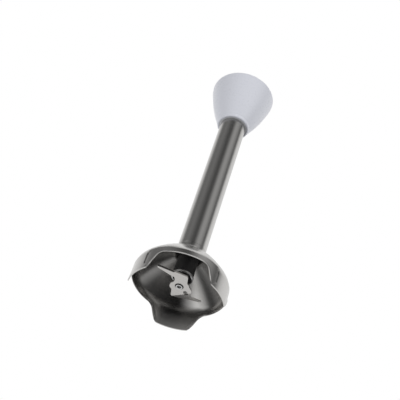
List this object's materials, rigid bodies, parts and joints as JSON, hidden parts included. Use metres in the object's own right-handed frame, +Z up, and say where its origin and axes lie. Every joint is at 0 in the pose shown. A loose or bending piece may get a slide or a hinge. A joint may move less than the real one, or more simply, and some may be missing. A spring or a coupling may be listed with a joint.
{
  "type": "immersion blender blending foot",
  "caption": "Detachable blending foot of an immersion blender: white coupling cup, steel tube and arched bell guard round a spinning blade.",
  "frame": {"origin": "on the drive shaft's axis, in the plane the three feet stand on", "axes": "+Z up the shaft from the bell guard to the coupling; -Y out through the middle of one arch"},
  "size_m": [0.066, 0.0665, 0.2142],
  "materials": {
    "white_plastic": "moulded satin gloss",
    "brushed_steel": "fine circumferential brushing",
    "ground_steel": "ground bright",
    "blade_steel": "stamped, fine satin",
    "black_steel": "black oxide",
    "bronze": "sintered bronze, matt",
    "grey_rubber": "matt",
    "black_rubber": "matt",
    "acetal": "matt moulded"
  },
  "bodies": {
    "foot": {"coupling_cup": "white_plastic", "coupling_core": "white_plastic", "core_screws": "ground_steel", "mouth_seal": "grey_rubber", "shaft_tube": "brushed_steel", "tube_lock_pins": "ground_steel", "bearing_carrier": "acetal", "upper_bush": "bronze", "shaft_gasket": "black_rubber", "middle_guide": "acetal", "bell_guard": "brushed_steel", "bearing_housing": "acetal", "housing_o_ring": "black_rubber", "lower_bush": "bronze", "shaft_seal": "black_rubber", "seal_cap": "ground_steel"},
    "rotor": {"drive_shaft": "ground_steel", "blade_hub": "ground_steel", "blade": "blade_steel", "blade_rivet": "black_steel", "thrust_washer": "ground_steel", "shaft_washer": "ground_steel", "retaining_clip": "ground_steel", "drive_dog": "acetal", "dog_pin": "ground_steel"}
  },
  "joints": [
    {"name": "blade_spin", "type": "hinge", "parent": "foot", "child": "rotor", "pos_m": [0, 0, 0], "axis": [0, 0, 1], "continuous": true}
  ]
}
